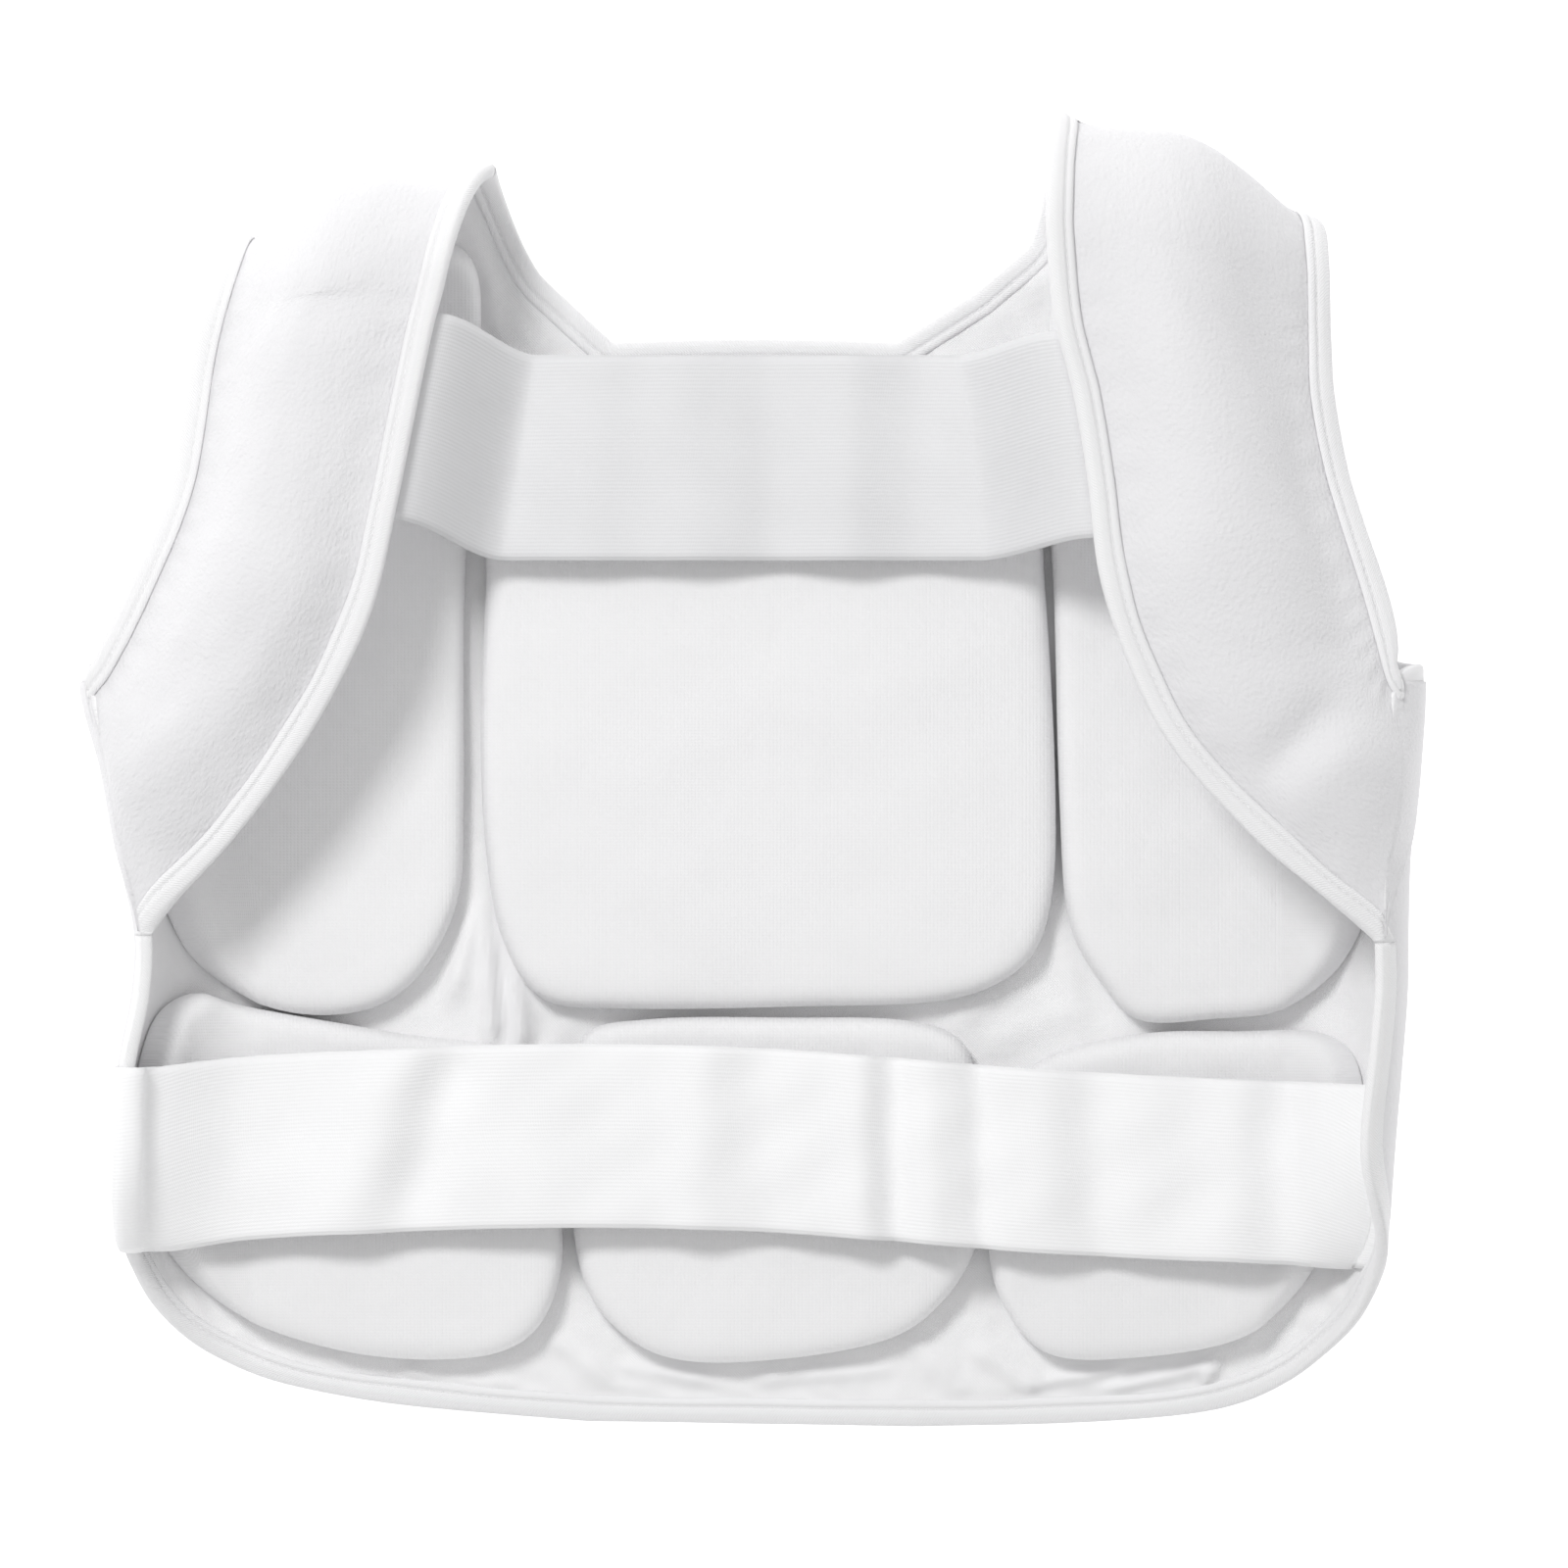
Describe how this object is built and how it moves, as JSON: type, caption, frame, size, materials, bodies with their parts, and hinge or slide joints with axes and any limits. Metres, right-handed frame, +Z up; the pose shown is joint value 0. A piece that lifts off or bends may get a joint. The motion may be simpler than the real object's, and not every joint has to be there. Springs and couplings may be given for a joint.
{
  "type": "chest protector",
  "caption": "Sleeveless padded chest protector lying on its front with its inner face up: flat foam pads on a lining, padded shoulder wings and two wide elastic bands.",
  "frame": {"origin": "on the surface that the protector lies on, under the middle of its bounding box", "axes": "+X to the right of the picture, across the wearer; +Y from the hem to the shoulders; +Z up, from the outer face of the front panel to the inner face that shows in the picture"},
  "size_m": [0.488, 0.4824, 0.0939],
  "materials": {
    "lining": "soft matt white lining cloth",
    "jersey": "fine white knitted jersey over foam",
    "fleece": "brushed white loop cloth",
    "elastic": "woven white elastic with fine ribs",
    "tape": "folded white binding tape, stitched"
  },
  "bodies": {
    "root": {"front_shell": "lining", "centre_pad": "jersey", "left_side_pad": "jersey", "right_side_pad": "jersey", "lower_left_pad": "jersey", "lower_centre_pad": "jersey", "lower_right_pad": "jersey", "left_wing": "fleece", "right_wing": "fleece", "upper_band": "elastic", "lower_band": "elastic", "left_wing_inner_binding": "tape", "left_wing_armhole_binding": "tape", "right_wing_inner_binding": "tape", "right_wing_armhole_binding": "tape", "hem_binding": "tape", "neck_binding": "tape", "left_armhole_binding": "tape", "right_armhole_binding": "tape"}
  },
  "joints": []
}
